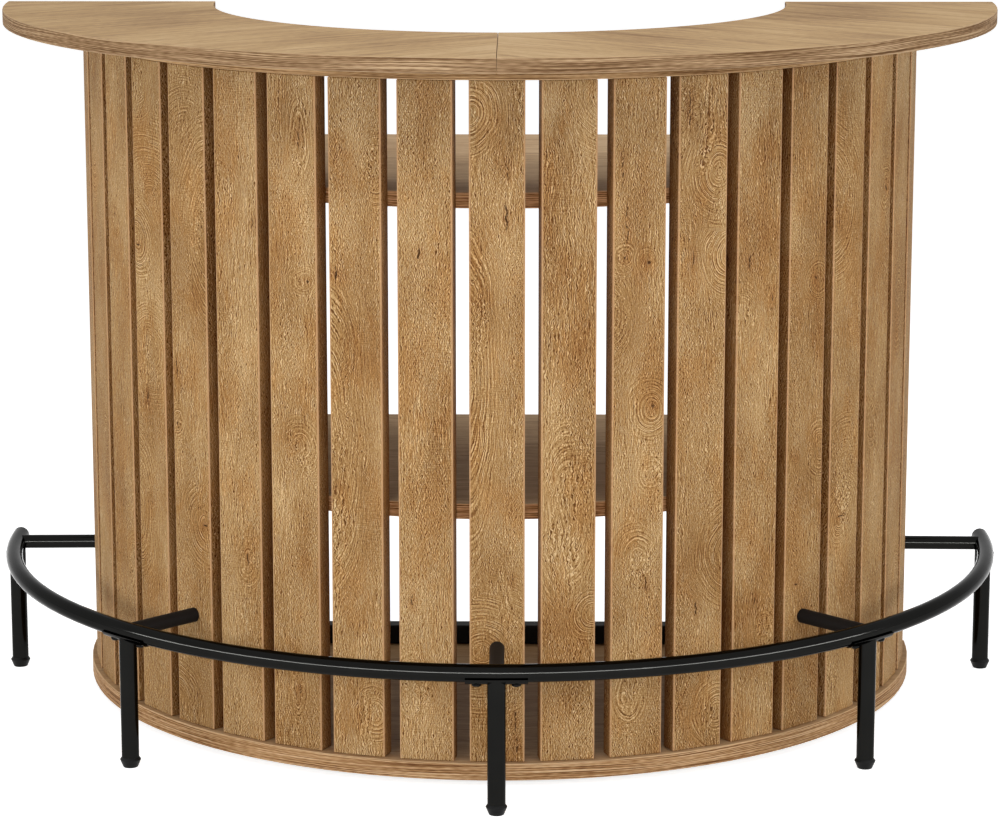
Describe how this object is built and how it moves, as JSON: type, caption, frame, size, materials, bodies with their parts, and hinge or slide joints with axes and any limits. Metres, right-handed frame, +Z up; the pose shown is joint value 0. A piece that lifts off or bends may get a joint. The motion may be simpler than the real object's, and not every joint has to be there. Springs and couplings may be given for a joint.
{
  "type": "semicircular bar table",
  "caption": "Half-round bar counter with an upright slatted front, a ring-shaped top, open shelves behind and a round foot rail on legs.",
  "frame": {"origin": "on the floor under the middle of the table's overall box", "axes": "+X to the right seen from the guests' side, +Y from the slatted front to the open side, +Z up"},
  "size_m": [1.54, 0.7992, 1.042],
  "materials": {
    "slat_oak": "matte oak-grain laminate",
    "top_oak": "satin oak-grain laminate",
    "shelf_oak": "matte oak-grain laminate",
    "black_steel": "satin black powder coat",
    "black_plastic": "matte black"
  },
  "bodies": {
    "root": {"base_board": "slat_oak", "base_foot_front": "black_plastic", "base_foot_rear_centre": "black_plastic", "base_foot_rear_left": "black_plastic", "base_foot_rear_right": "black_plastic", "base_foot_side_left": "black_plastic", "base_foot_side_right": "black_plastic", "counter_top_left": "top_oak", "counter_top_right": "top_oak", "foot_cap_centre": "black_plastic", "foot_cap_end_left": "black_plastic", "foot_cap_end_right": "black_plastic", "foot_cap_middle_left": "black_plastic", "foot_cap_middle_right": "black_plastic", "foot_rail_left": "black_steel", "foot_rail_right": "black_steel", "leg_centre": "black_steel", "leg_end_left": "black_steel", "leg_end_right": "black_steel", "leg_middle_left": "black_steel", "leg_middle_right": "black_steel", "middle_shelf": "shelf_oak", "rail_end_plug_left": "black_plastic", "rail_end_plug_right": "black_plastic", "rail_joiner": "black_steel", "rear_bar": "black_steel", "rear_post_left": "black_steel", "rear_post_right": "black_steel", "slat_01": "slat_oak", "slat_02": "slat_oak", "slat_03": "slat_oak", "slat_04": "slat_oak", "slat_05": "slat_oak", "slat_06": "slat_oak", "slat_07": "slat_oak", "slat_08": "slat_oak", "slat_09": "slat_oak", "slat_10": "slat_oak", "slat_11": "slat_oak", "slat_12": "slat_oak", "slat_13": "slat_oak", "slat_14": "slat_oak", "slat_15": "slat_oak", "slat_16": "slat_oak", "slat_17": "slat_oak", "slat_18": "slat_oak", "slat_19": "slat_oak", "slat_20": "slat_oak", "slat_21": "slat_oak", "standoff_centre": "black_steel", "standoff_end_left": "black_steel", "standoff_end_right": "black_steel", "standoff_middle_left": "black_steel", "standoff_middle_right": "black_steel", "under_top_ring": "top_oak", "upper_shelf": "shelf_oak"}
  },
  "joints": []
}
